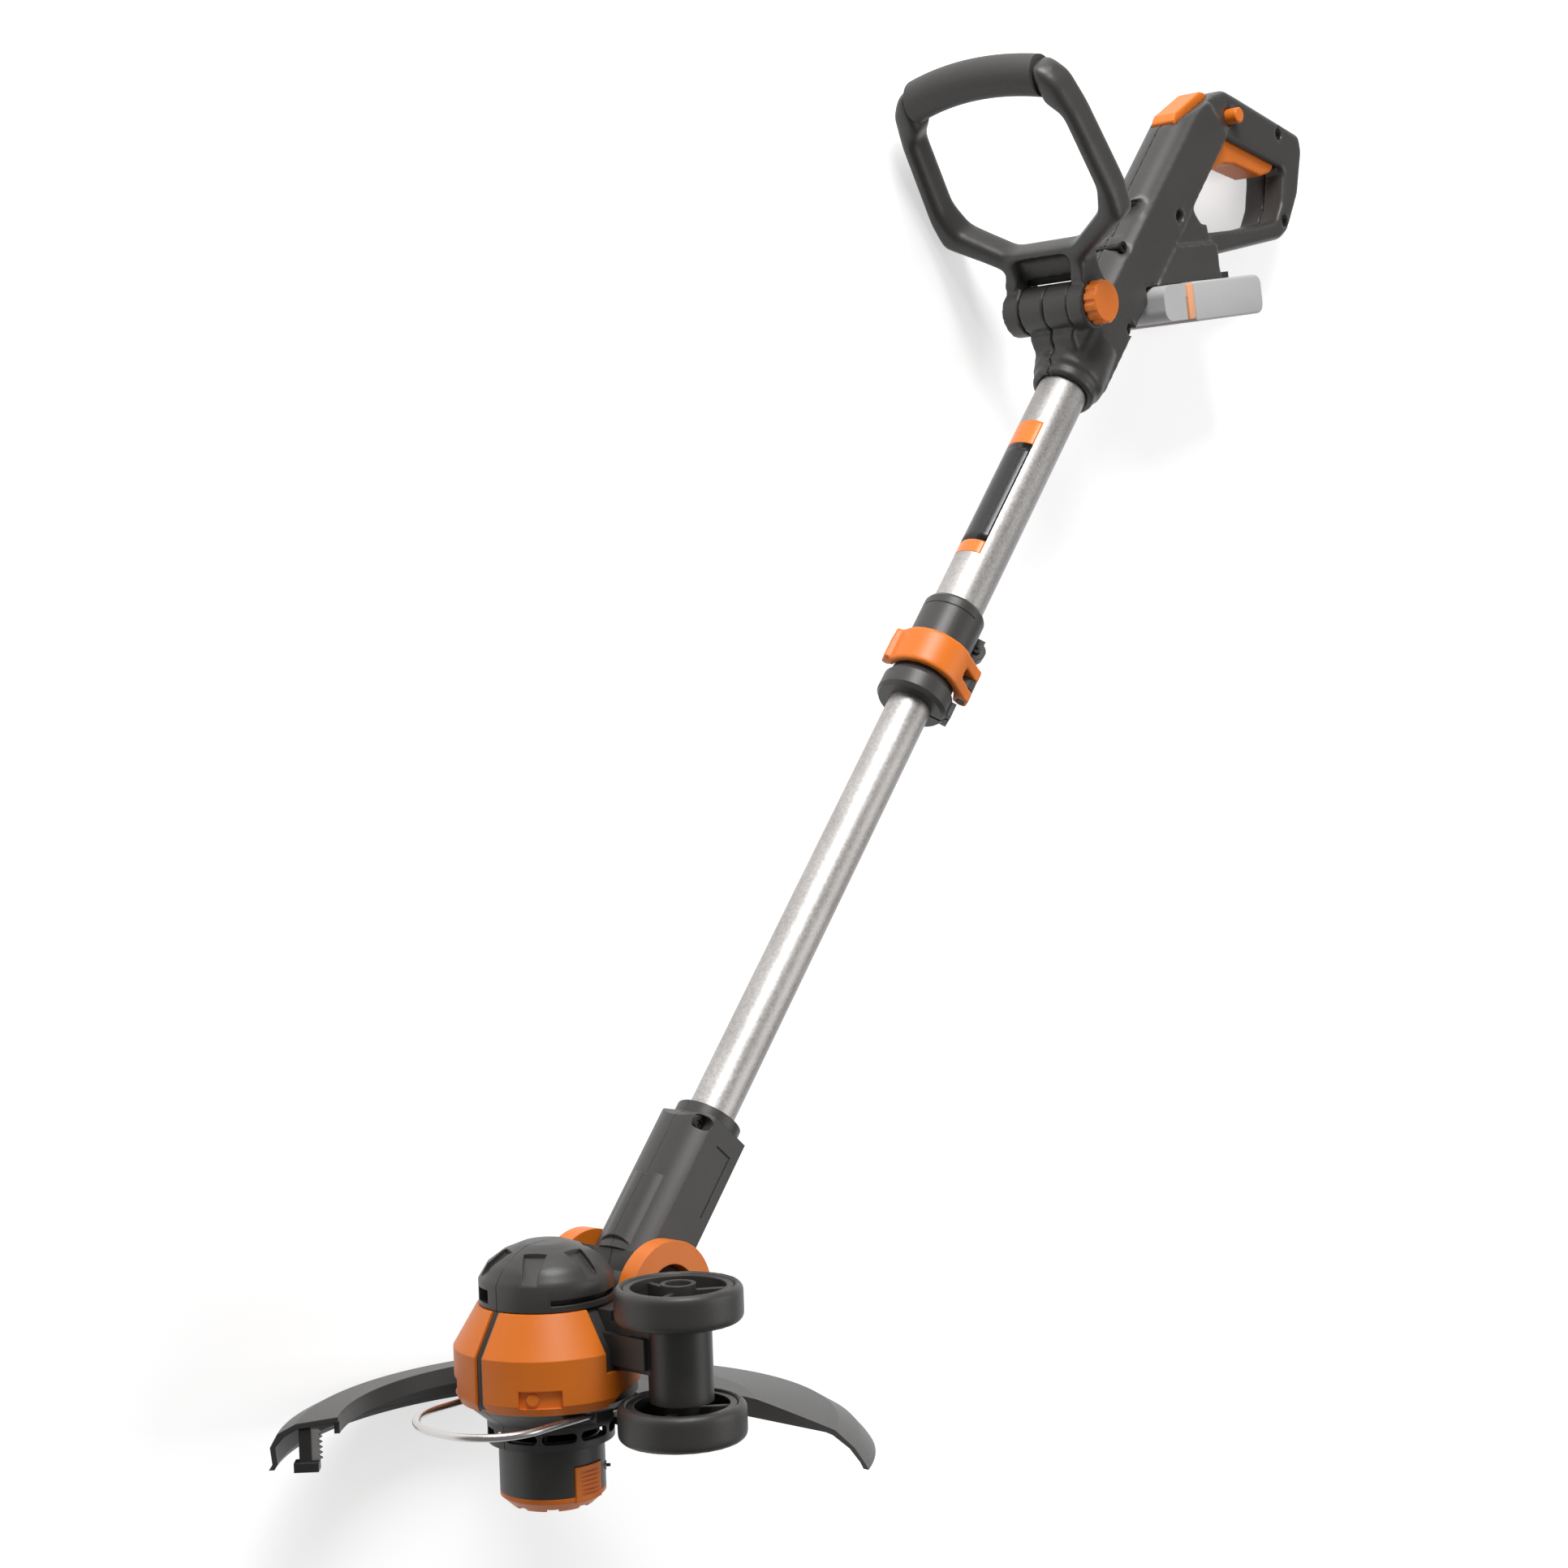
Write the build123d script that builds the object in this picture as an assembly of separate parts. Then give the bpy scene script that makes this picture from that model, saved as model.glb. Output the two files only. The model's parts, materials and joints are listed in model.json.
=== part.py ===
from build123d import *
import os
from math import cos, sin, sqrt, radians

# Cordless string trimmer, sizes in millimetres.
# Head frame: Z is the motor axis, Z = 0 under the spool, X points forward, Y to the tool's left.
# Shaft frame: X is the front side of the shaft, Y the tool's left, Z runs up the shaft.

# How the tool lies on the ground, turned about X, then Y, then Z, and then shifted
LIE_ROLL = 91.251
LIE_PITCH = -10.151
LIE_YAW = 129.511
LIE_SHIFT = (-516.894, -49.045, 166.028)

# Shaft
SHAFT_LEAN = 40.08
SHAFT_MEET = 35.0
PIVOT_S = 88.0
LOWER_TUBE_R = 13.25
UPPER_TUBE_R = 16.0
TUBE_WALL = 1.4
LOWER_TUBE_FROM = 122.0
LOWER_TUBE_TO = 650.0
UPPER_TUBE_FROM = 506.0
UPPER_TUBE_TO = 802.0
RUN_FIT = 0.08
SEAT = 0.1
SEAM = 0.3

# Head
CAP_R = 27.5
CUP_R = 27.5
CUP_BASE = 12.0
CUP_TOP = 36.7
HEAD_FOOT = 37.7
VENT_RING_R = 33.0
COVER_R = 49.0
COVER_WALL = 3.0
COVER_BASE = 60.0
COVER_RIDGE = 88.0
COVER_TOP = 109.0
DOME_R = 35.0
MOTOR_R = 22.0
MOTOR_BASE = 50.2
MOTOR_TOP = 108.0
ROTOR_SHAFT_R = 2.5
LINE_R = 0.83
LINE_Z = 21.5
LINE_ANGLE = 131.0

# Wheels
WHEEL_X = -18.0
WHEEL_Y = 77.5
WHEEL_R = 33.0
WHEEL_WIDTH = 19.5
WHEEL_LOW = 44.0
WHEEL_HIGH = 104.0
AXLE_R = 4.0

# Guard
GUARD_R = 158.0
GUARD_X = -18.0
GUARD_Y = -3.5
GUARD_FROM = 116.7
GUARD_ARC = 196.7
GUARD_TURN = 238.0
GUARD_LOW = 21.0
GUARD_WALL = 2.8

# Plant guard wire
WIRE_R = 2.0
WIRE_FRONT = 77.0
WIRE_HALF = 38.0
WIRE_Z = 56.0
WIRE_BACK = -44.0

# Loop handle
LOOP_N = 38.0
LOOP_S = 783.0
LOOP_TILT = 14.0
LOOP_BACK = 14.1
LOOP_DEPTH = 23.0
EYE_R = 16.0
EYE_IN = 19.0
EYE_OUT = 31.0

# Rear handle
BEAM_HALF = 19.0
GRIP_HALF = 16.5
TRIGGER_HALF = 11.5

# Battery, laid out along its slide direction and across it
SLIDE_N = -10.6
SLIDE_S = 847.0
SLIDE_TILT = 48.6
BATTERY_HALF = 30.0
BATTERY_LENGTH = 119.0
BATTERY_THICK = 24.0
DOCK_HALF = 22.0
RAIL_HALF = 14.0

BIG = 3000.0


def outline(points):
    return make_face(Polyline(*points, close=True))


def turned(points, arc=360.0, start=0.0):
    """A solid turned about Z from an outline of radius and height."""
    return Rot(0, 0, start) * revolve(Plane.XZ * outline(points), Axis.Z, revolution_arc=arc)


def slab(points, y0, y1):
    """An outline in X and Z, thick from y0 to y1."""
    return Pos(0, y0, 0) * extrude(Plane.XZ * outline(points), -(y1 - y0))


def block(x0, x1, y0, y1, z0, z1):
    return Pos((x0 + x1) / 2, (y0 + y1) / 2, (z0 + z1) / 2) * Box(x1 - x0, y1 - y0, z1 - z0)


def rod_z(r, z0, z1, x=0.0, y=0.0):
    return Pos(x, y, (z0 + z1) / 2) * Cylinder(r, z1 - z0)


def rod_y(r, y0, y1, x=0.0, z=0.0):
    return Pos(x, (y0 + y1) / 2, z) * Rot(90, 0, 0) * Cylinder(r, y1 - y0)


def rod_x(r, x0, x1, y=0.0, z=0.0):
    return Pos((x0 + x1) / 2, y, z) * Rot(0, 90, 0) * Cylinder(r, x1 - x0)


def tube_z(r_out, r_in, z0, z1):
    return rod_z(r_out, z0, z1) - rod_z(r_in, z0 - 1, z1 + 1)


def left_half(part):
    return part & block(-BIG, BIG, SEAM / 2, BIG, -BIG, BIG)


def right_half(part):
    return part & block(-BIG, BIG, -BIG, -SEAM / 2, -BIG, BIG)


def mirrored(part):
    return mirror(part, Plane.XZ)


def screw(length, head_r=3.6, shank_r=1.9):
    """A pan head screw along Z, head on top of Z = 0, with a cross recess."""
    body = rod_z(head_r, 0, 2.4) + rod_z(shank_r, -length, 0.2)
    body -= block(-2.2, 2.2, -0.45, 0.45, 1.2, 3) + block(-0.45, 0.45, -2.2, 2.2, 1.2, 3)
    return body


PIVOT_X = -PIVOT_S * sin(radians(SHAFT_LEAN))
PIVOT_Z = SHAFT_MEET + PIVOT_S * cos(radians(SHAFT_LEAN))
SHAFT = Plane(
    origin=(0, 0, SHAFT_MEET),
    x_dir=(cos(radians(SHAFT_LEAN)), 0, sin(radians(SHAFT_LEAN))),
    z_dir=(-sin(radians(SHAFT_LEAN)), 0, cos(radians(SHAFT_LEAN))),
).location
LIE = Pos(*LIE_SHIFT) * Rot(0, 0, LIE_YAW) * Rot(0, LIE_PITCH, 0) * Rot(LIE_ROLL, 0, 0)


# Motor housing: two dark shells joined at the middle plane
COVER_IN = COVER_R - COVER_WALL - 0.2
SHELL_OUTLINE = [
    (0, 140), (12, 139.4), (22, 135.6), (30, 130), (DOME_R, 122), (DOME_R, COVER_TOP + 0.4),
    (32.6, COVER_TOP + 0.4), (COVER_IN, COVER_RIDGE), (COVER_IN, COVER_BASE + 1.5),
    (43.5, COVER_BASE - 1.5), (VENT_RING_R, 49.5), (VENT_RING_R, HEAD_FOOT),
]


def shell_space(gap):
    """The space taken by the motor housing, with a gap round it."""
    grown = [(r + gap if r > 0 else 0, z) for r, z in SHELL_OUTLINE]
    return turned([(0, 140 + gap)] + grown[1:] + [(0, HEAD_FOOT)])


def head_shells():
    shell = turned(SHELL_OUTLINE + [
        (29.8, HEAD_FOOT), (29.8, 48), (5.5, 48), (5.5, 50), (29, 50), (29, 116), (20, 130), (0, 134),
    ])
    # front rib that shows between the two orange covers
    rib = [(32, COVER_TOP + 0.3), (34.5, COVER_TOP + 0.3), (COVER_R - 1.4, COVER_RIDGE),
           (COVER_R - 1.4, COVER_BASE + 2), (COVER_R - 4, COVER_BASE), (43, COVER_BASE), (43, 86)]
    shell += slab(rib, -2.2, 2.2)
    # ears that carry the tilt pivot, with the webs that join them to the shell
    ear = rod_y(21, 20.5, 24, PIVOT_X, PIVOT_Z)
    ear += slab([(PIVOT_X, PIVOT_Z + 20), (-30, PIVOT_Z + 9), (-30, 68), (-44, 68), (PIVOT_X - 12, 84)], 20.5, 24)
    ear -= rod_z(29.5, 40, 112)
    web = slab([(-37, 84), (-37, 62), (-44, 62), (PIVOT_X + 3, 80)], -22, 22) - rod_z(29.5, 40, 112)
    shell += ear + mirrored(ear) + web
    # room for the yoke barrel and the pivot pin
    shell -= rod_y(19.6, -20.3, 20.3, PIVOT_X, PIVOT_Z)
    shell -= rod_y(5 + SEAT, -40, 40, PIVOT_X, PIVOT_Z)
    # windows of the vent ring
    for k in range(10):
        shell -= Rot(0, 0, 36 * k + 18) * (block(25, 40, -6.5, 6.5, 41.5, 46.5) + rod_x(2.5, 25, 40, 6.5, 44)
                                           + rod_x(2.5, 25, 40, -6.5, 44))
    # long air slots at both sides of the dome and the small window at the front right
    slot = turned([(31.5, 112.5), (40, 112.5), (40, 115.5), (31.5, 115.5)], 78, 50)
    window = turned([(28, 112), (40, 112), (40, 119), (28, 119)], 22, -34)
    shell -= slot + mirrored(slot) + window
    # shallow notches round the shoulder of the dome
    for k in range(6):
        notch = Pos(27, 0, 133.4) * Rot(0, 37, 0) * (Box(13, 8, 2.4))
        shell -= Rot(0, 0, 60 * k + 35) * notch
    # channels and clips for the plant guard wire
    for y in (WIRE_HALF, -WIRE_HALF):
        shell -= block(-60, 60, y - 3, y + 3, WIRE_Z - 4, WIRE_Z + 2.8)
    clip = block(-4, 8, 33, WIRE_HALF + 4.2, WIRE_Z - 4.2, WIRE_Z + 3.2)
    clip -= rod_x(WIRE_R + 0.3, -10, 20, WIRE_HALF, WIRE_Z) + rod_z(31, 40, 70)
    shell += clip + mirrored(clip)
    left = left_half(shell)
    right = right_half(shell)
    for x, z in ((-14, 72), (14, 72)):
        left -= rod_y(3.9, 36, 60, x, z) + rod_y(2, 0, 60, x, z)
        right -= rod_y(1.9, -24, 0, x, z)
    return left, right


def cover(side):
    """One orange cover: a faceted skin over half of the motor housing."""
    top = 1.2
    skin = turned([
        (DOME_R - 1.9, COVER_TOP), (DOME_R + top, COVER_TOP), (COVER_R, COVER_RIDGE), (COVER_R, COVER_BASE + 5),
        (COVER_R - 2.5, COVER_BASE), (COVER_R - COVER_WALL - 0.3, COVER_BASE),
        (COVER_R - COVER_WALL, COVER_BASE + 2), (COVER_R - COVER_WALL, COVER_RIDGE),
    ], 118, 0)
    skin &= block(-BIG, BIG, 2.6, BIG, -BIG, BIG)
    # the upper part ends at the wheel bracket, the lower edge sweeps up into a tail
    skin -= block(-80, 6, 0, 80, 78, 120)
    sweep = [(8, COVER_BASE - 2), (-3, COVER_BASE + 6), (-60, 76), (-60, 40), (8, 40)]
    skin -= slab(sweep, 30, 90)
    pocket = block(40, 60, -11, 11, COVER_BASE + 4, COVER_BASE + 13)
    skin -= Rot(0, 0, 41) * pocket
    floor = turned([(COVER_R - COVER_WALL, COVER_BASE + 3), (COVER_R - COVER_WALL + 1, COVER_BASE + 3),
                    (COVER_R - COVER_WALL + 1, COVER_BASE + 14), (COVER_R - COVER_WALL, COVER_BASE + 14)], 30, 26)
    peg = Pos(0, 0, 0) * rod_x(3.2, COVER_R - COVER_WALL + 0.4, COVER_R - 1.2, -4, COVER_BASE + 8.5)
    skin += floor + Rot(0, 0, 41) * peg
    return skin if side > 0 else mirrored(skin)


def wheel_bracket():
    hub = rod_z(16.5, WHEEL_LOW + WHEEL_WIDTH + 0.4, WHEEL_HIGH - 0.4, WHEEL_X, WHEEL_Y)
    hub += rod_z(14.6, WHEEL_LOW + WHEEL_WIDTH + 0.4, WHEEL_HIGH - 0.4, WHEEL_X, WHEEL_Y)
    arm = block(-30, -3, 30, WHEEL_Y, 78.4, WHEEL_HIGH - 1.5)
    arm += block(-33, 0, 30, WHEEL_Y - 8, 81, 97) + block(-30, -3, 30, 43.5, 90, 108)
    arm -= shell_space(SEAT) + rod_y(32, 20, 35.6, PIVOT_X, PIVOT_Z)
    body = hub + arm
    body -= rod_z(AXLE_R + 0.02, 0, 140, WHEEL_X, WHEEL_Y)
    return body


def wheel(low):
    """One wheel: rim with spokes, hub and a tyre ring; the open side shows the spokes."""
    half = WHEEL_WIDTH / 2
    rim = turned([(24.5, -half + 1.5), (28, -half + 1.5), (28, half - 1.5), (24.5, half - 1.5)])
    hub = turned([(AXLE_R + RUN_FIT, -half), (9, -half), (9, half), (AXLE_R + RUN_FIT, half)])
    disc = turned([(8.5, -2 - half / 3), (25, -2 - half / 3), (25, 1 - half / 3), (8.5, 1 - half / 3)])
    wheel_core = rim + hub + disc
    for k in range(3):
        spoke = Rot(0, 0, 120 * k + 20) * block(8, 25.5, -1.5, 1.5, -half + 3, half - 3.5)
        wheel_core += spoke
    # seat for the hub cap
    wheel_core -= rod_z(6.8, half - 5, half + 1)
    tyre = turned([
        (28 + SEAT, -half + 2), (29, -half), (WHEEL_R - 2.4, -half), (WHEEL_R, -half + 2.4),
        (WHEEL_R, half - 2.4), (WHEEL_R - 2.4, half), (29, half), (28 + SEAT, half - 2),
    ])
    place = Pos(WHEEL_X, WHEEL_Y, low + half)
    return place * wheel_core, place * tyre


def axle():
    pin = rod_z(AXLE_R, WHEEL_LOW + 0.6, WHEEL_HIGH + WHEEL_WIDTH - 5.5, WHEEL_X, WHEEL_Y)
    return pin


def wire_guard():
    corner = 34
    path = FilletPolyline(
        (WIRE_BACK, WIRE_HALF, WIRE_Z), (WIRE_FRONT, WIRE_HALF, WIRE_Z),
        (WIRE_FRONT, -WIRE_HALF, WIRE_Z), (WIRE_BACK, -WIRE_HALF, WIRE_Z), radius=corner)
    ring = Plane(origin=(WIRE_BACK, WIRE_HALF, WIRE_Z), z_dir=(1, 0, 0)) * Circle(WIRE_R)
    return sweep(ring, path=path)


def guard():
    t = GUARD_WALL
    top, low = 49.0, GUARD_LOW
    foot = [(GUARD_R - 1, low + 3), (GUARD_R + 1, low), (GUARD_R - 2, low), (GUARD_R - 1 - t, low + 3)]
    boxy = [
        (40, top), (GUARD_R - 38, top - 1), (GUARD_R - 14, top - 4), (GUARD_R - 4, top - 9), (GUARD_R, top - 16),
    ] + foot + [
        (GUARD_R - t, top - 16), (GUARD_R - 5 - t, top - 10.5), (GUARD_R - 15, top - 4 - t),
        (GUARD_R - 38, top - 1 - t), (40, top - t),
    ]
    sloped = [
        (40, top), (GUARD_R - 60, top - 3), (GUARD_R - 18, top - 11), (GUARD_R - 7, top - 18),
    ] + foot + [
        (GUARD_R - 7 - t, top - 19), (GUARD_R - 18 - t / 2, top - 11 - t), (GUARD_R - 60, top - 3 - t), (40, top - t),
    ]
    body = turned(sloped, GUARD_TURN - GUARD_FROM + 1, GUARD_FROM)
    body += turned(boxy, GUARD_FROM + GUARD_ARC - GUARD_TURN, GUARD_TURN)
    # the left part ends at a straight front edge, the right part is a band that reaches forward
    body = Pos(GUARD_X, GUARD_Y, 0) * body
    body -= block(-91, 60, 40, 200, 0, 80)
    inner = GUARD_R - 36
    band_hole = turned([(0, 0), (inner, 0), (inner, 80), (0, 80)], 85, GUARD_FROM + GUARD_ARC - 75)
    body -= Pos(GUARD_X, GUARD_Y, 0) * band_hole
    # hanging lips along the front edges
    lip = block(-91 - t, -91, 36, 155, top - 13, top - t + 0.5)
    under_roof = Pos(GUARD_X, GUARD_Y, 0) * turned(sloped[:5] + [(0, low), (0, top)])
    lip &= under_roof
    inner_lip = Pos(GUARD_X, GUARD_Y, 0) * turned([
        (inner, top - 11), (inner + t, top - 11), (inner + t, top - 2), (inner, top - 2)],
        73, GUARD_FROM + GUARD_ARC - 75)
    # hub that reaches round the vent ring and is screwed to the motor housing
    hub = block(-92, -18, -38, 38, top - 5, top - 1.2) & rod_z(92, 0, 80)
    hub -= rod_z(VENT_RING_R + SEAT, 0, 80)
    hub -= turned([(VENT_RING_R, 48.0), (43.5 + SEAT, COVER_BASE - 1.5), (43.5, 80), (0, 80), (0, 48)])
    body -= rod_z(VENT_RING_R + 12, 0, 80)
    rib = (block(-150, -70, -2, 2, top - 18, top - t) - rod_z(70, 0, 80)) & under_roof
    body += lip + inner_lip + hub + rib
    return body


def cutter():
    """Toothed line cutter on the open end of the guard and its black holder."""
    end = GUARD_FROM + GUARD_ARC
    hold = block(137, 143, -7, -1.2, GUARD_LOW, 41.6)
    hold += block(133, 146, -9, -0.4, GUARD_LOW - 2, GUARD_LOW + 3)
    blade = [(133.2, GUARD_LOW + 3.3)]
    teeth = 6
    pitch = 2.8
    for k in range(teeth):
        z = GUARD_LOW + 3.3 + pitch * k
        blade += [(131, z + pitch * 0.5), (133.2, z + pitch)]
    blade += [(136.9, GUARD_LOW + 3.3 + pitch * teeth), (136.9, GUARD_LOW + 3.3)]
    steel = slab(blade, -5, -3.4)
    place = Pos(GUARD_X, GUARD_Y, 0) * Rot(0, 0, end)
    return place * hold, place * steel


def spool_parts():
    """Turning parts under the motor: cup, cap with its latches, spool, line, spring and eyelet."""
    cup = turned([
        (CUP_R, CUP_BASE), (CUP_R, CUP_TOP), (7, CUP_TOP), (7, CUP_TOP + 2), (ROTOR_SHAFT_R + SEAT, CUP_TOP + 2),
        (ROTOR_SHAFT_R + SEAT, CUP_TOP - 8), (6, CUP_TOP - 8), (6, CUP_TOP - 3), (CUP_R - 2.2, CUP_TOP - 3),
        (CUP_R - 2.2, CUP_BASE),
    ])
    latch_gap = block(-9.5, 9.5, CUP_R - 6, CUP_R + 2, CUP_BASE - 1, 27.5)
    cup -= latch_gap + mirrored(latch_gap)
    cup -= Rot(0, 0, LINE_ANGLE) * rod_x(2.4 + SEAT, 20, 32, 0, LINE_Z)
    cap = turned([(0, 6), (14, 6), (16, 4), (21.5, 4), (CAP_R, 9.5), (CAP_R, CUP_BASE - SEAT),
                  (CUP_R - 2.6, CUP_BASE - SEAT), (CUP_R - 2.6, 10), (0, 10)])
    for k in range(8):
        cap -= Rot(0, 0, 45 * k) * block(15, 23, -3, 3, 3, 5.6)
    latch = turned([(CUP_R - 2.4, 8), (CUP_R + 0.5, 9), (CUP_R + 0.5, 27), (CUP_R - 2.4, 27)])
    latch &= block(-9, 9, 0, 60, 0, 60)
    for k in range(6):
        latch -= block(-7, 7, CUP_R - 0.4, CUP_R + 3, 12 + 2.3 * k, 13 + 2.3 * k)
    cap += latch + mirrored(latch)
    spool = turned([
        (6.4, 10 + SEAT), (22.8, 10 + SEAT), (22.8, 12), (10, 12), (10, 26.5), (22.8, 26.5), (22.8, 28.4),
        (8.4, 28.4), (8.4, 15), (6.4, 15),
    ])
    wound = [(10 + SEAT, 12.1), (18.4, 12.1)]
    rows = 7
    pitch = (26.4 - 12.1) / rows
    for k in range(rows):
        z = 12.1 + pitch * k
        wound += [(19.2, z + pitch / 2), (18.4, z + pitch)]
    wound += [(10 + SEAT, 26.4)]
    line = turned(wound)
    line += Rot(0, 0, LINE_ANGLE) * rod_x(LINE_R, 17, CUP_R + 2.6, 0, LINE_Z)
    turns = Pos(0, 0, 15.6) * Helix(pitch=3.6, height=17.4, radius=7.2)
    coil = sweep(Plane(origin=turns @ 0, z_dir=turns % 0) * Circle(0.5), path=turns, is_frenet=True)
    eyelet = Rot(0, 0, LINE_ANGLE) * (rod_x(2.4, CUP_R - 2.6, CUP_R + 0.5, 0, LINE_Z)
                                      - rod_x(LINE_R + 0.02, 20, 40, 0, LINE_Z))
    return cup, cap, spool, line, coil, eyelet


def motor_parts():
    can = turned([(6, MOTOR_BASE), (MOTOR_R - 2, MOTOR_BASE), (MOTOR_R, MOTOR_BASE + 2), (MOTOR_R, MOTOR_TOP - 2),
                  (MOTOR_R - 2, MOTOR_TOP), (8, MOTOR_TOP), (8, MOTOR_TOP + 4), (ROTOR_SHAFT_R + RUN_FIT, MOTOR_TOP + 4),
                  (ROTOR_SHAFT_R + RUN_FIT, 52), (6, 52)])
    shaft = rod_z(ROTOR_SHAFT_R, CUP_TOP - 7, MOTOR_TOP + 3)
    fan = turned([(ROTOR_SHAFT_R + SEAT, 39), (8, 39), (8, 39.6), (25, 39.6), (25, 40.8), (8, 40.8), (8, 47),
                  (ROTOR_SHAFT_R + SEAT, 47)])
    for k in range(9):
        fan += Rot(0, 0, 40 * k) * block(7.5, 24.8, -0.7, 0.7, 40.5, 46.5)
    return can, shaft, fan


def pivot_parts():
    """Steel pin of the head tilt, the two dark end caps and the two orange arches round them."""
    pin = rod_y(5, -24, 24, PIVOT_X, PIVOT_Z)
    cap = Pos(PIVOT_X, 24, PIVOT_Z) * Rot(-90, 0, 0) * turned([
        (0, 0), (18, 0), (18, 3), (13, 11), (0, 12)])
    arch = rod_y(31, 24, 35, PIVOT_X, PIVOT_Z) - rod_y(18.6, 20, 40, PIVOT_X, PIVOT_Z)
    arch -= Pos(PIVOT_X, 0, PIVOT_Z) * Rot(0, 16, 0) * block(-60, 60, 0, 60, -60, -6)
    arch -= shell_space(0.4)
    return pin, cap, arch


# Lower shaft: yoke halves and tube, in the shaft frame
def yoke_halves():
    s0, s1 = PIVOT_S, 190.0
    side = 20.6
    section = make_face([
        Polyline((15, -side), (-14, -side), (-14, side), (15, side)),
        ThreePointArc((15, side), (24, 0), (15, -side)),
    ])
    body = Pos(0, 0, s0 + 14) * extrude(section, s1 - s0 - 14)
    # the front is chamfered at the top and runs out towards the head at the bottom
    body -= slab([(14, 196), (40, 166), (40, 200), (14, 200)], -40, 40)
    body -= slab([(40, 112), (22, 98), (22, 80), (40, 80)], -40, 40)
    body += rod_y(18.5, -20, 20, 0, PIVOT_S)
    body += slab([(-12, PIVOT_S), (17, PIVOT_S), (22, s0 + 14.1), (-14, s0 + 14.1)], -20, 20)
    body += rod_z(19, s1 - 1, 197)
    # raised thumb plate on the front
    plate = Pos(0, 0, 104) * extrude(make_face([
        Polyline((8, -16), (8, 16)), ThreePointArc((8, 16), (26, 0), (8, -16))]), 44)
    trim = slab([(18, 152), (40, 136), (40, 160), (18, 160)], -40, 40) + slab([(40, 118), (20, 104), (40, 100)], -40, 40)
    body += plate - trim
    for y in (20.2, -20.2):
        body -= rod_y(22.5, min(y, y * 2), max(y, y * 2), 0, PIVOT_S)
    body -= rod_y(5 + RUN_FIT, -30, 30, 0, PIVOT_S)
    body -= rod_z(LOWER_TUBE_R + SEAT, LOWER_TUBE_FROM - 0.1, 220)
    body -= rod_z(7, PIVOT_S + 12, LOWER_TUBE_FROM)
    # screw pockets and the recessed line on the left flat
    for n, s in ((18.6, 184), (-10.4, 112)):
        body -= rod_y(4.2, 12, 40, n, s) + rod_y(2, -13, 40, n, s)
    groove = block(-8, -7, side - 0.6, side + 1, 140, 178) + block(-7.5, 5, side - 0.6, side + 1, 177, 178)
    body -= groove
    return left_half(body), right_half(body)


def yoke_screws():
    out = Part()
    for n, s in ((18.6, 184), (-10.4, 112)):
        out += Pos(n, 12 + 0.02, s) * Rot(-90, 0, 0) * screw(22, 3.8, 1.9)
    return out


def lower_tube():
    tube = tube_z(LOWER_TUBE_R, LOWER_TUBE_R - TUBE_WALL, LOWER_TUBE_FROM, LOWER_TUBE_TO)
    return tube


def tube_guide():
    """Plastic bush at the top of the lower tube that slides inside the upper tube."""
    r = UPPER_TUBE_R - TUBE_WALL - RUN_FIT
    return turned([
        (8, LOWER_TUBE_TO - 26), (LOWER_TUBE_R - TUBE_WALL - RUN_FIT, LOWER_TUBE_TO - 26),
        (LOWER_TUBE_R - TUBE_WALL - RUN_FIT, LOWER_TUBE_TO + 0.3), (r, LOWER_TUBE_TO + 0.3),
        (r, LOWER_TUBE_TO + 16), (8, LOWER_TUBE_TO + 16)])


# Clamp on the lower end of the upper tube, in the shaft frame turned to the lever's side
CLAMP_TURN = 48.0
LEVER_PIN_Y = 26.0
CLAMP_LOW = 488.0
BAND_LOW = 505.6
BAND_HIGH = 530.0
CLAMP_HIGH = 561.0
CLAMP_BOLT_Y = 21.6


def clamp_collar():
    core = 19.7
    body = turned([
        (LOWER_TUBE_R + RUN_FIT, CLAMP_LOW), (20.5, CLAMP_LOW), (22.4, CLAMP_LOW + 2.5), (22.4, BAND_LOW - 5),
        (core, BAND_LOW - 1), (core, CLAMP_HIGH - 2), (18.6, CLAMP_HIGH), (UPPER_TUBE_R + SEAT, CLAMP_HIGH),
        (UPPER_TUBE_R + SEAT, UPPER_TUBE_FROM - 0.1), (LOWER_TUBE_R + RUN_FIT, UPPER_TUBE_FROM - 0.1),
    ])
    # lug of the lever pin, ear of the clamp bolt and the lower lug
    lug = block(-4.5, 4.5, 17.5, LEVER_PIN_Y, 514.5, 521)
    lug += rod_z(4.5, 514.5, 521, 0, LEVER_PIN_Y)
    ear = block(-14, -7, 11, 25, 539, 556) + rod_x(6.5, -14, -7, CLAMP_BOLT_Y, 547.5)
    low = block(-9, 4, 15, 25, CLAMP_LOW + 3, CLAMP_LOW + 13)
    bore = rod_z(UPPER_TUBE_R + SEAT, UPPER_TUBE_FROM - 0.1, 600) + rod_z(LOWER_TUBE_R + RUN_FIT, 400, 600)
    body += (lug + ear + low) - bore
    body -= rod_z(2.5 + SEAT, 500, 535, 0, LEVER_PIN_Y)
    body -= rod_x(1.6 + SEAT, -20, -4, CLAMP_BOLT_Y, 547.5)
    # slot that lets the collar close on the tube
    body -= block(-0.8, 0.8, 12, 40, 400, 513.6)
    # thin parting line on the sleeve
    body -= tube_z(21, core - 0.4, 553.2, 553.8) & block(0, 40, -30, 12, 500, 600)
    return Rot(0, 0, CLAMP_TURN) * body


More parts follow.
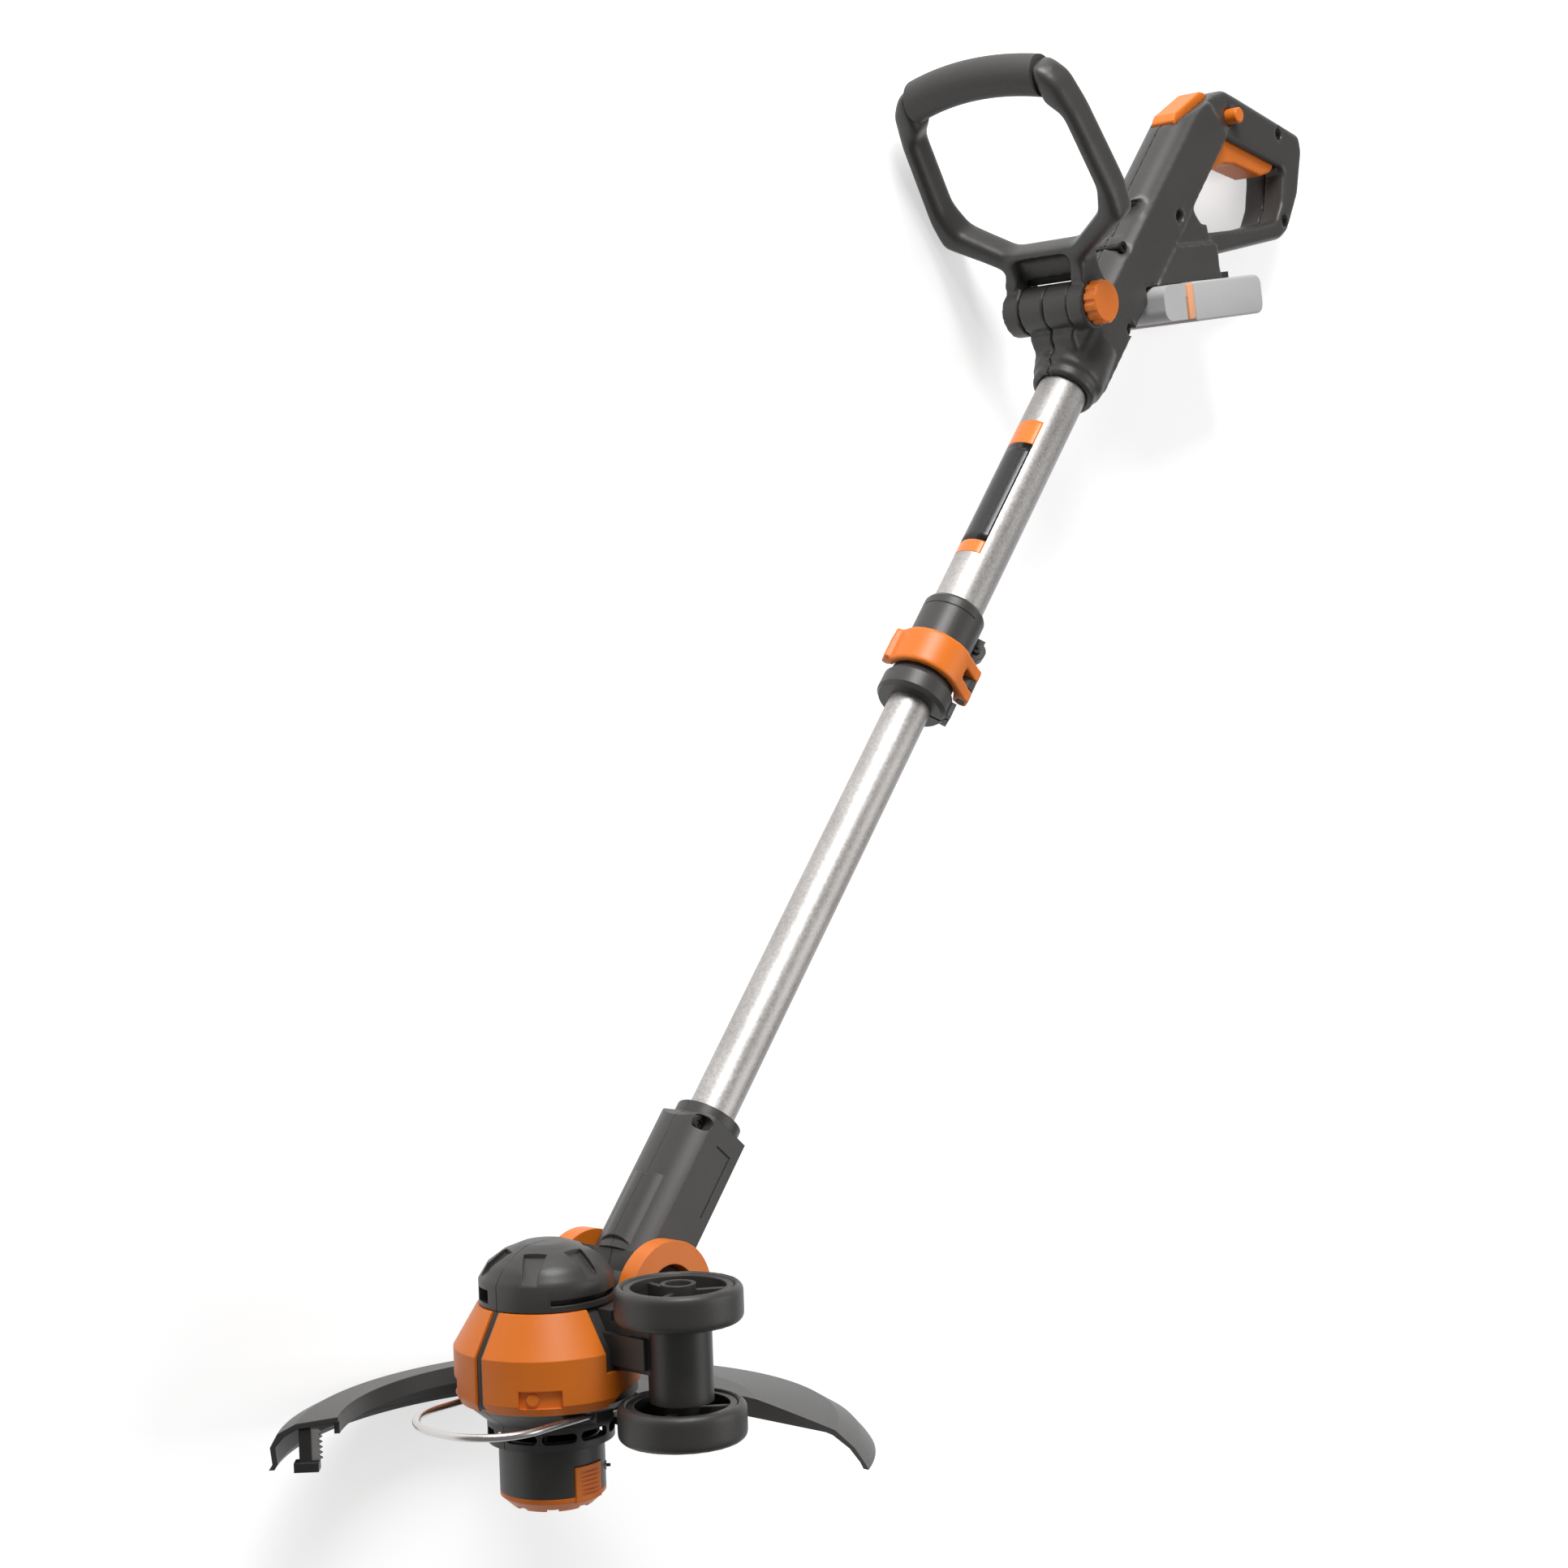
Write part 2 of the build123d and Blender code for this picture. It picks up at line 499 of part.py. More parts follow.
def cam_lever():
    inner, outer = 20.3, 24.2
    band = turned([(inner, BAND_LOW), (outer, BAND_LOW), (outer + 0.6, BAND_LOW + 2), (outer + 0.6, BAND_HIGH - 2),
                   (outer, BAND_HIGH), (inner, BAND_HIGH)], 142, -84)
    tab = block(-1, 8, -27.5, -21, BAND_LOW + 1, BAND_HIGH - 1)
    tab -= rod_z(22, 400, 600)
    arm = Polyline((11.5, 17), (15, 19.6), (5, LEVER_PIN_Y + 2), (3, LEVER_PIN_Y + 4.6), (-3, LEVER_PIN_Y + 4.6),
                   (-4.8, LEVER_PIN_Y), (-2.6, LEVER_PIN_Y - 4.6), (3, 20.6), close=True)
    prong = Pos(0, 0, BAND_LOW) * extrude(make_face(arm), 8.4)
    prong += Pos(0, 0, BAND_HIGH - 8.4) * extrude(make_face(arm), 8.4)
    lever = band + tab + prong
    lever -= rod_z(2.5 + RUN_FIT, 480, 560, 0, LEVER_PIN_Y)
    # raised dots of the thumb rest
    for row in range(4):
        for col in range(3):
            lever += rod_y(0.7, -28, -27.3, 0.8 + 2.2 * col, BAND_LOW + 6 + 3.6 * row)
    return Rot(0, 0, CLAMP_TURN) * lever


def lever_pin():
    return Rot(0, 0, CLAMP_TURN) * rod_z(2.5, BAND_LOW + 0.5, BAND_HIGH - 0.5, 0, LEVER_PIN_Y)


def clamp_bolt():
    y = CLAMP_BOLT_Y
    bolt = rod_x(1.6, -15.6, -6, y, 547.5) + rod_x(2.6, -6.9, -5.2, y, 547.5) - rod_x(1.2, -6, -5, y, 547.5)
    nut = Pos(-15.8, y, 547.5) * Rot(0, 90, 0) * extrude(RegularPolygon(3.4, 6), 1.7)
    return Rot(0, 0, CLAMP_TURN) * (bolt + nut)


def upper_tube():
    return tube_z(UPPER_TUBE_R, UPPER_TUBE_R - TUBE_WALL, UPPER_TUBE_FROM, UPPER_TUBE_TO)


# Rear handle in the shaft frame
def slide_point(along, across):
    """Point in the shaft frame from the battery's slide direction and the direction across it."""
    c, s = cos(radians(SLIDE_TILT)), sin(radians(SLIDE_TILT))
    return (SLIDE_N - along * c + across * s, SLIDE_S + along * s + across * c)


def slide_block(a0, a1, half, c0, c1):
    corners = [slide_point(a0, c0), slide_point(a1, c0), slide_point(a1, c1), slide_point(a0, c1)]
    return slab(corners, -half, half)


GRIP_OUT = [(17, 985), (17, 1001), (2, 1025), (-10, 1032), (-84, 1073), (-94, 1066), (-109, 1038), (-115, 1008),
            (-112, 997), (-59, 927), (-22, 908), (-16, 890), (10, 890)]
GRIP_HOLE = [(-10, 950), (-21, 931), (-42, 931), (-84, 980), (-100, 1002), (-97, 1017), (-84, 1038), (-14, 996)]
TRIGGER = [(-7, 955), (-18, 957), (-24, 973), (-31, 988), (-42, 999), (-71, 1018), (-78, 1029), (-75, 1036),
           (-40, 1017), (-11, 1000), (-4, 980)]
TRIGGER_POCKET = [(4, 950.5), (-10, 950), (-16, 952), (-40, 990), (-84, 1030), (-79, 1041.5), (-40, 1024),
                  (-7, 1008), (7, 984)]
FEED_FROM = (26.0, 968.0)
FEED_TO = (11.0, 1012.0)
LOCK_AT = (-13.0, 1014.0)


def rounded_slab(points, corner, half, edge):
    """An outline with rounded corners, thick to both sides of the middle plane, with rounded rims."""
    face = outline(points)
    face = fillet(face.vertices(), corner)
    body = extrude(Plane.XZ * face, half, both=True)
    if edge > 0:
        body = fillet(body.edges().filter_by(Plane.XZ), edge)
    return body


def hole_edge(edge):
    middle = edge.center()
    return -103 < middle.X < -8 and 929 < middle.Z < 1042 and abs(abs(middle.Y) - GRIP_HALF) < 0.01


def handle_halves():
    section = make_face([
        Polyline((17, -BEAM_HALF), (-17, -BEAM_HALF), (-17, BEAM_HALF), (17, BEAM_HALF)),
        ThreePointArc((17, BEAM_HALF), (24.2, 0), (17, -BEAM_HALF)),
    ])
    beam = Pos(0, 0, 758) * extrude(section, 242)
    raised = make_face([Polyline((10, -17), (10, 17), (18, 17)), ThreePointArc((18, 17), (27.5, 0), (18, -17)),
                        Polyline((18, -17), (10, -17))])
    beam += Pos(0, 0, 884) * extrude(raised, 116)
    beam -= slab([(21, 899), (34, 880), (50, 862), (22, 862)], -40, 40)
    # the top is cut along the slope of the line feed button
    slope = [(FEED_FROM[0] + 1.5, FEED_FROM[1] - 6), (FEED_TO[0] - 6, FEED_TO[1] + 12), (60, 1040), (60, 962)]
    beam -= slab(slope, -40, 40)
    grip = rounded_slab(GRIP_OUT, 5, GRIP_HALF, 5) - rounded_slab(GRIP_HOLE, 5, 40, 0)
    rims = [e for e in grip.edges().filter_by(Plane.XZ) if hole_edge(e)]
    grip = fillet(rims, 2.5)
    body = beam + grip
    body -= slab(slope, -40, 40)
    # socket round the upper tube with its stepped nose
    body += turned([(0, 744), (19.8, 744), (21, 746), (21, 752), (23.5, 753), (23.5, 764), (22, 785), (0, 785)])
    # barrel of the loop handle
    barrel = rod_y(15.4, -18.7, 18.7, LOOP_N, LOOP_S)
    barrel += slab([(10, 757), (30, 764), (LOOP_N + 6, 797), (20, 812), (10, 840)], -17, 17)
    body += barrel
    # battery dock
    dock = slide_block(2, 86, DOCK_HALF, 0.4, 25) + slide_block(4, 84, 17, 9, 38)
    dock -= slab([(-16, 700), (60, 700), (60, 1000), (-16, 1000)], -40, 40)
    dock += slide_block(2, 64, RAIL_HALF, -6.6, 1)
    dock -= slide_block(-2, 54, 12, -5.4, -3)
    body += dock
    # bores and pockets
    body -= rod_z(UPPER_TUBE_R + SEAT, 700, UPPER_TUBE_TO + 0.1)
    body -= rod_z(11, 700, 830)
    body -= slab(TRIGGER_POCKET, -TRIGGER_HALF - 0.5, TRIGGER_HALF + 0.5)
    body -= rod_y(4 + SEAT, -60, 60, LOOP_N, LOOP_S)
    body -= block(-5, 18, -12, 12, 828, 900)
    recess = slide_block(-2, 40, BATTERY_HALF + 1, -BATTERY_THICK - 5, 0.3) - slide_block(2, 41, RAIL_HALF, -6.7, 1)
    body -= recess & block(-17.6, 60, -60, 60, 700, 950)
    body -= slab([(-24, 1017), (-55, 1031), (-45, 1051), (-22, 1037.5)], -6.6, 6.6)
    # bore of the lock-off button, its bezel and the slot of the line feed button
    body -= rod_y(5.6, -10, 40, *LOCK_AT)
    body -= rod_y(9, GRIP_HALF - 1.2, 40, *LOCK_AT)
    feed = slab(feed_outline(0.5, 9), -9.5, 9.5)
    body -= feed
    for n, s in HANDLE_SCREWS:
        body -= rod_y(4.3, 12.5, 60, n, s) + rod_y(2, -14, 60, n, s)
    return left_half(body), right_half(body)


HANDLE_SCREWS = ((22, 852), (-13.4, 812), (-9, 912), (-64, 1052), (-107, 1010))


def handle_screws():
    out = Part()
    for n, s in HANDLE_SCREWS:
        out += Pos(n, 12.52, s) * Rot(-90, 0, 0) * screw(22, 3.9, 1.9)
    return out


def feed_outline(room, depth):
    """Outline of the line feed button along the sloping top of the handle."""
    (n0, s0), (n1, s1) = FEED_FROM, FEED_TO
    length = sqrt((n1 - n0) ** 2 + (s1 - s0) ** 2)
    d = ((n1 - n0) / length, (s1 - s0) / length)
    out = (d[1], -d[0])

    def at(along, high):
        return (n0 + d[0] * along + out[0] * high, s0 + d[1] * along + out[1] * high)

    return [at(-room, -depth), at(length + room, -depth), at(length + room, 1 + room * 12),
            at(length - 5, 4 + room * 12), at(6, 4 + room * 12), at(-room, 1 + room * 12)]


def feed_button():
    body = slab(feed_outline(0, 4), -9, 9)
    return body


def trigger():
    body = slab(TRIGGER, -TRIGGER_HALF, TRIGGER_HALF)
    body += rod_y(4, -TRIGGER_HALF, TRIGGER_HALF, -74, 1032.5)
    return body


def lock_button():
    body = rod_y(5.3, 6, 24, *LOCK_AT)
    return chamfer(body.edges().filter_by(GeomType.CIRCLE).sort_by(Axis.Y)[-1], 0.8)


def trigger_switch():
    return slab([(-30, 1024), (-50, 1036), (-44.5, 1047.5), (-24.4, 1036)], -6.4, 6.4)


def controller():
    return block(-4.8, 17.8, -11.9, -10.3, 829, 899) + block(0, 12, -10.4, -3, 840, 862)


def terminals():
    out = Part()
    for y in (-9.6, 0, 9.6):
        plate = slide_block(8, 44, 0.4, -5.2, -3.2)
        out += Pos(0, y, 0) * plate
    return out


# Battery pack in the shaft frame
def battery_parts():
    """Battery pack: case with the groove of the dock rail, coloured band and release latch."""
    low = -BATTERY_THICK
    case = slide_block(0, BATTERY_LENGTH, BATTERY_HALF, low, 0)
    case = fillet(case.edges().filter_by(Axis.Y), 8)
    case -= slide_block(-2, 70, RAIL_HALF + 0.4, -7, 1)
    ring = slide_block(26, 33, BATTERY_HALF + 1, low - 1, -9)
    case -= ring - slide_block(25, 34, BATTERY_HALF - 1.4, low + 1.4, 10)
    band = slide_block(26.1, 32.9, BATTERY_HALF, low, -9.1)
    band -= slide_block(25, 34, BATTERY_HALF - 1.3, low + 1.3, 10)
    case -= slide_block(87, 109, 13.5, -9, 1)
    latch = slide_block(87.5, 108.5, 13, -5, 5)
    return case, band, latch


# Loop handle: its own frame has X to the tool's left, Y up the loop and Z towards the head
LOOP = Plane(
    origin=(LOOP_N, 0, LOOP_S),
    x_dir=(0, 1, 0),
    z_dir=(sin(radians(LOOP_TILT)), 0, -cos(radians(LOOP_TILT))),
).location


def slab_x(points, x0, x1):
    """An outline in Y and Z, thick from x0 to x1."""
    return Pos(x0, 0, 0) * extrude(Plane.YZ * outline(points), x1 - x0)


def both_sides(points):
    return points + [(-x, y) for x, y in reversed(points)]


def loop_parts():
    """The moulded loop with its two eyes, and the soft sleeve on its top bar."""
    mid = -LOOP_BACK
    low, high = mid - LOOP_DEPTH / 2, mid + LOOP_DEPTH / 2
    rim = both_sides([(17, 17), (27, 13), (32, 28), (70, 50), (72, 69), (68, 124), (64, 146), (55, 157), (30, 164)])
    hole = both_sides([(25, 38), (54, 58), (60, 74), (57, 124), (46, 136), (30, 140)])
    frame = fillet(outline(rim).vertices(), 5) - fillet(outline(hole).vertices(), 6)
    frame = Pos(0, 0, low) * extrude(frame, LOOP_DEPTH)
    frame = fillet(frame.edges().filter_by(Plane.XY), 5.2)
    # the plate below the hole is thinner than the arms
    frame -= block(-20.5, 20.5, 0, 34, high - 6, high + 1) + block(-20.5, 20.5, 0, 25, low - 1, low + 9)
    # round core of the top bar and the sleeve on it
    frame -= block(-49, 49, 100, 200, -60, 20)
    frame += top_bar(8, mid)
    sleeve = top_bar(12.8, mid) & block(-48.8, 48.8, 100, 200, -60, 20)
    sleeve -= top_bar(8 + SEAT, mid)
    # eyes round the barrel and the arms that reach back to them
    eye = rod_x(EYE_R, EYE_IN, EYE_OUT)
    eye += slab_x([(19, 2), (31, high - 3), (31, low + 3), (22, low + 3), (-12, -15), (0, 0)],
                  EYE_IN + 2.2, EYE_OUT - 0.7)
    frame += eye + mirror(eye, Plane.YZ)
    frame -= rod_x(4 + SEAT, -60, 60)
    frame -= Pos(-EYE_OUT - 1, 0, 0) * Rot(0, 90, 0) * extrude(RegularPolygon(7.6, 6), 6)
    return frame, sleeve


def top_bar(r, z):
    bar = ThreePointArc((-58, 146, z), (0, 155, z), (58, 146, z))
    return sweep(Plane(origin=bar @ 0, z_dir=bar % 0) * Circle(r), path=bar)


def knob():
    body = rod_x(14, EYE_OUT + 0.4, EYE_OUT + 9)
    body = chamfer(body.edges().filter_by(GeomType.CIRCLE).sort_by(Axis.X)[-1], 1.5)
    for k in range(12):
        body -= Rot(30 * k, 0, 0) * rod_x(2, EYE_OUT, EYE_OUT + 20, 15, 0)
    body -= rod_x(4 + SEAT, EYE_OUT, EYE_OUT + 6)
    return body


def loop_bolt():
    """Square-necked bolt with its nut in the right eye."""
    nut = Pos(-EYE_OUT - 0.8, 0, 0) * Rot(0, 90, 0) * extrude(RegularPolygon(7.4, 6), 5.6)
    return rod_x(4, -EYE_OUT - 0.8, EYE_OUT + 5.9) + nut


def head_nodes():
    """Nodes that are drawn in the head frame."""
    nodes = {}
    nodes["motor_housing_left"], nodes["motor_housing_right"] = head_shells()
    nodes["motor_cover_left"] = cover(1)
    nodes["motor_cover_right"] = cover(-1)
    nodes["wheel_bracket"] = wheel_bracket()
    nodes["wheel_upper"], nodes["tyre_upper"] = wheel(WHEEL_HIGH)
    nodes["wheel_lower"], nodes["tyre_lower"] = wheel(WHEEL_LOW)
    nodes["wheel_axle"] = axle()
    nodes["plant_guard_wire"] = wire_guard()
    nodes["cutting_guard"] = guard()
    nodes["cutter_holder"], nodes["line_cutter"] = cutter()
    cup, cap, spool, line, coil, eyelet = spool_parts()
    nodes["spool_cup"] = cup
    nodes["spool_cap"] = cap
    nodes["line_spool"] = spool
    nodes["cutting_line"] = line
    nodes["spool_spring"] = coil
    nodes["line_eyelet"] = eyelet
    nodes["motor"], nodes["motor_shaft"], nodes["cooling_fan"] = motor_parts()
    pin, cap, arch = pivot_parts()
    nodes["tilt_pin"] = pin
    nodes["tilt_cap_left"] = cap
    nodes["tilt_cap_right"] = mirrored(cap)
    nodes["tilt_arch_left"] = arch
    nodes["tilt_arch_right"] = mirrored(arch)
    return nodes


def shaft_nodes():
    """Nodes that are drawn in the shaft frame."""
    nodes = {}
    nodes["yoke_left"], nodes["yoke_right"] = yoke_halves()
    nodes["yoke_screws"] = yoke_screws()
    nodes["lower_tube"] = lower_tube()
    nodes["tube_guide"] = tube_guide()
    nodes["clamp_collar"] = clamp_collar()
    nodes["cam_lever"] = cam_lever()
    nodes["lever_pin"] = lever_pin()
    nodes["clamp_bolt"] = clamp_bolt()
    nodes["upper_tube"] = upper_tube()
    nodes["handle_left"], nodes["handle_right"] = handle_halves()
    nodes["handle_screws"] = handle_screws()
    nodes["feed_button"] = feed_button()
    nodes["trigger"] = trigger()
    nodes["lock_button"] = lock_button()
    nodes["trigger_switch"] = trigger_switch()
    nodes["controller"] = controller()
    nodes["battery_terminals"] = terminals()
    nodes["battery_case"], nodes["battery_band"], nodes["battery_latch"] = battery_parts()
    frame, grip = loop_parts()
    nodes["loop_handle"] = LOOP * frame
    nodes["loop_grip"] = LOOP * grip
    nodes["loop_knob"] = LOOP * knob()
    nodes["loop_bolt"] = LOOP * loop_bolt()
    return nodes


os.makedirs("parts", exist_ok=True)
NODES = head_nodes()
NODES.update({name: SHAFT * solid for name, solid in shaft_nodes().items()})
for name, solid in NODES.items():
    node = LIE * solid
    node.label = name
    export_step(node, "parts/" + name + ".step")
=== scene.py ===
import json
import math

import bmesh
import bpy
from mathutils import Matrix, Vector
from mathutils.bvhtree import BVHTree


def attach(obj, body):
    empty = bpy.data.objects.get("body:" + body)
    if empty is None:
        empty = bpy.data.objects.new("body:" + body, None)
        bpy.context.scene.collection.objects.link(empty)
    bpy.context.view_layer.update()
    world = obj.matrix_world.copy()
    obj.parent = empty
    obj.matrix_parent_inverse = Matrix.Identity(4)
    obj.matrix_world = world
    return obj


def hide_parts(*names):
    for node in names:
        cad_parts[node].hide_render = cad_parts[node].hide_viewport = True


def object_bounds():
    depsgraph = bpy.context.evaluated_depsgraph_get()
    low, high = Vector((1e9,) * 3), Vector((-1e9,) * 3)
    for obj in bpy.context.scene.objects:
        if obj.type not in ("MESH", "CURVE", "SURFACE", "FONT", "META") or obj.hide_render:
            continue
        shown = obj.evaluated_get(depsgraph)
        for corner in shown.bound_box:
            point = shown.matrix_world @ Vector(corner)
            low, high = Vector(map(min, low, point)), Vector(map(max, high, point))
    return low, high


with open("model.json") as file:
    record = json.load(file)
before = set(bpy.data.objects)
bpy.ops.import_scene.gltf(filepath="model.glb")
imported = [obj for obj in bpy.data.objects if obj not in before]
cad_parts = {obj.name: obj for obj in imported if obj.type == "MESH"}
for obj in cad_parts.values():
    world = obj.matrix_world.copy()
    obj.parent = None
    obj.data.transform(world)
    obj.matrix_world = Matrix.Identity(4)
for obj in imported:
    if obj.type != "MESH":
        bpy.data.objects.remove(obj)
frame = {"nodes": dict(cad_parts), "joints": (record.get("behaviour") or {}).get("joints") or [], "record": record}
cad_low, cad_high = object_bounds()
nodes = frame["nodes"]
joints = {joint["name"]: joint for joint in frame["joints"]}
MM = 0.001


# Tubes: two lengths of drawn aluminium pipe, the lower one sliding inside the upper one.
# They are cut to length, blasted with fine beads and left bare.

BEAD_MARK = 1.6 * MM
BEAD_DEPTH = 0.10 * MM
BLAST_CLOUD = 40 * MM
BEAD_SHARE = 1.6
SPECKLE_BASE = 0.8


def srgb(code):
    """Linear colour, with alpha, from an sRGB hex value."""
    parts = [int(code[k:k + 2], 16) / 255 for k in (1, 3, 5)]
    return [p / 12.92 if p <= 0.04045 else ((p + 0.055) / 1.055) ** 2.4 for p in parts] + [1.0]


def add(tree, kind, links=None, values=None, **settings):
    """Adds a node with its settings, the values of its inputs, and links from other nodes' outputs."""
    made = tree.nodes.new(kind)
    for name, value in settings.items():
        setattr(made, name, value)
    for name, value in (values or {}).items():
        made.inputs[name].default_value = value
    for name, output in (links or {}).items():
        tree.links.new(output, made.inputs[name])
    return made


def new_material(name):
    """An empty node material and its tree."""
    made = bpy.data.materials.new(name)
    made.use_nodes = True
    made.node_tree.nodes.clear()
    return made, made.node_tree


def dress(material, *names):
    """Gives CAD nodes a material in their only slot."""
    for name in names:
        slots = nodes[name].data.materials
        slots.clear()
        slots.append(material)


# Bead-blasted aluminium is bright but satin: wide soft highlights over a fine speckle of small pits.
# The bead marks are finer than a pixel, so they are drawn about five times as coarse.
blasted_aluminium, tree = new_material("bead_blasted_aluminium")
place = add(tree, "ShaderNodeTexCoord")
marks = add(tree, "ShaderNodeTexNoise", {"Vector": place.outputs["Object"]},
            {"Scale": 1 / BEAD_MARK, "Detail": 2.0, "Roughness": 0.6})
clouds = add(tree, "ShaderNodeTexNoise", {"Vector": place.outputs["Object"]},
             {"Scale": 1 / BLAST_CLOUD, "Detail": 3.0})
speckle = add(tree, "ShaderNodeMath", {0: marks.outputs["Fac"], 2: clouds.outputs["Fac"]}, {1: BEAD_SHARE},
              operation="MULTIPLY_ADD")
speckle = add(tree, "ShaderNodeMath", {0: speckle.outputs["Value"]}, {1: SPECKLE_BASE},
              operation="SUBTRACT", use_clamp=True)
tone = add(tree, "ShaderNodeMix", {0: speckle.outputs["Value"]}, {6: srgb("#A09D9B"), 7: srgb("#C9C6C3")},
           data_type="RGBA")
gloss = add(tree, "ShaderNodeMapRange", {"Value": marks.outputs["Fac"]}, {"To Min": 0.42, "To Max": 0.58})
relief = add(tree, "ShaderNodeBump", {"Height": marks.outputs["Fac"]},
             {"Strength": 0.8, "Distance": BEAD_DEPTH})
surface = add(tree, "ShaderNodeBsdfPrincipled", {
    "Base Color": tone.outputs[2], "Roughness": gloss.outputs["Result"], "Normal": relief.outputs["Normal"],
}, {"Metallic": 1.0})
add(tree, "ShaderNodeOutputMaterial", {"Surface": surface.outputs["BSDF"]})
dress(blasted_aluminium, "upper_tube", "lower_tube")


# Tube transfer: a thin printed film round the front of the upper tube, laid on before assembly.
# It is vinyl, orange at both ends and black between them. Places along the tube are in millimetres.

FILM_RADIUS = 16.08 * MM
FILM_THICKNESS = 0.06 * MM
FILM_ANGLES = (-78.0, 39.0)
FILM_COLUMNS = 24
FILM_ROWS = 12
FILM_FIELDS = (("orange", 597, 606.5), ("black", 606.5, 687), ("orange", 687, 706))
INK_MOTTLE = 6 * MM
SHAFT_AXIS = Vector(joints["shaft_turn"]["axis"])
SHAFT_POINT = Vector(joints["shaft_turn"]["pos_m"])
SHAFT_POINT_ALONG = 600
LEFT = Vector(joints["head_tilt"]["axis"])
FRONT = LEFT.cross(SHAFT_AXIS)


def printed_film(name, code):
    """Printed vinyl: an even ink under a smooth clear face, glossy with a faint unevenness."""
    made, tree = new_material(name)
    place = add(tree, "ShaderNodeTexCoord")
    ink = add(tree, "ShaderNodeTexNoise", {"Vector": place.outputs["Object"]},
              {"Scale": 1 / INK_MOTTLE, "Detail": 2.0})
    gloss = add(tree, "ShaderNodeMapRange", {"Value": ink.outputs["Fac"]}, {"To Min": 0.22, "To Max": 0.32})
    surface = add(tree, "ShaderNodeBsdfPrincipled", {"Roughness": gloss.outputs["Result"]},
                  {"Base Color": srgb(code), "IOR": 1.5})
    add(tree, "ShaderNodeOutputMaterial", {"Surface": surface.outputs["BSDF"]})
    return made


def new_piece(name, mesh):
    """A new object in the scene."""
    piece = bpy.data.objects.new(name, mesh)
    bpy.context.scene.collection.objects.link(piece)
    return piece


def film_field(name, start, end, material):
    """One field of the film: a curved strip along the tube, as thick as the film."""
    points = []
    for row in range(FILM_ROWS + 1):
        along = start + (end - start) * row / FILM_ROWS
        middle = SHAFT_POINT + SHAFT_AXIS * ((along - SHAFT_POINT_ALONG) * MM)
        for column in range(FILM_COLUMNS + 1):
            turn = math.radians(FILM_ANGLES[0] + (FILM_ANGLES[1] - FILM_ANGLES[0]) * column / FILM_COLUMNS)
            points.append(middle + (FRONT * math.cos(turn) + LEFT * math.sin(turn)) * FILM_RADIUS)
    wide = FILM_COLUMNS + 1
    faces = [(r * wide + c, r * wide + c + 1, (r + 1) * wide + c + 1, (r + 1) * wide + c)
             for r in range(FILM_ROWS) for c in range(FILM_COLUMNS)]
    mesh = bpy.data.meshes.new(name)
    mesh.from_pydata(points, [], faces)
    mesh.materials.append(material)
    mesh.polygons.foreach_set("use_smooth", [True] * len(mesh.polygons))
    piece = new_piece(name, mesh)
    skin = piece.modifiers.new("thickness", "SOLIDIFY")
    skin.thickness = FILM_THICKNESS
    skin.offset = -1
    return piece


films = {
    "orange": printed_film("printed_film_orange", "#F5822E"),
    "black": printed_film("printed_film_black", "#1E1D1D"),
}
for number, (colour, start, end) in enumerate(FILM_FIELDS):
    field = film_field(f"tube_film_{number + 1}", start, end, films[colour])
    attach(field, "rear_handle")


# Housings: motor shells, yoke, guard, wheel arm, spool cup, clamp, rear handle and loop, all in dark grey.
# They are moulded from glass-filled nylon in spark-eroded tools, most of them in screwed halves.

SPARK_GRAIN = 0.9 * MM
SPARK_DEPTH = 0.06 * MM
FLOW_MARK = 35 * MM
TONE_BASE = 0.2
GLOSS_SPREAD = 0.08
EDGE_ROUND = 0.9 * MM


def moulded_plastic(name, dark, light, rough, grain, depth):
    """Moulded plastic: matt in the pits of its grain, glossier on the tops, and light along its edges."""
    made, tree = new_material(name)
    place = add(tree, "ShaderNodeTexCoord")
    pits = add(tree, "ShaderNodeTexNoise", {"Vector": place.outputs["Object"]},
               {"Scale": 1 / grain, "Detail": 3.0, "Roughness": 0.6})
    flow = add(tree, "ShaderNodeTexNoise", {"Vector": place.outputs["Object"]},
               {"Scale": 1 / FLOW_MARK, "Detail": 2.0})
    both = add(tree, "ShaderNodeMath", {0: pits.outputs["Fac"], 1: flow.outputs["Fac"]}, {2: TONE_BASE},
               operation="MULTIPLY_ADD")
    tone = add(tree, "ShaderNodeMix", {0: both.outputs["Value"]}, {6: srgb(dark), 7: srgb(light)},
               data_type="RGBA")
    gloss = add(tree, "ShaderNodeMapRange", {"Value": pits.outputs["Fac"]},
                {"To Min": rough + GLOSS_SPREAD, "To Max": rough - GLOSS_SPREAD})
    edges = add(tree, "ShaderNodeBevel", None, {"Radius": EDGE_ROUND}, samples=4)
    relief = add(tree, "ShaderNodeBump", {"Height": pits.outputs["Fac"], "Normal": edges.outputs["Normal"]},
                 {"Strength": 0.3, "Distance": depth})
    surface = add(tree, "ShaderNodeBsdfPrincipled", {
        "Base Color": tone.outputs[2], "Roughness": gloss.outputs["Result"],
        "Normal": relief.outputs["Normal"],
    }, {"IOR": 1.5})
    add(tree, "ShaderNodeOutputMaterial", {"Surface": surface.outputs["BSDF"]})
    return made


# Spark-eroded nylon has an even, dull grain that breaks up highlights without hiding the form.
# The grain is drawn at about twice its real pitch, so that it shows at this distance.
eroded_nylon = moulded_plastic("spark_eroded_dark_nylon", "#302F2E", "#474543", 0.42, SPARK_GRAIN,
                               SPARK_DEPTH)
dress(eroded_nylon, "motor_housing_left", "motor_housing_right", "wheel_bracket", "cutting_guard",
      "spool_cup", "tilt_cap_left", "tilt_cap_right", "yoke_left", "yoke_right", "clamp_collar",
      "handle_left", "handle_right", "loop_handle")


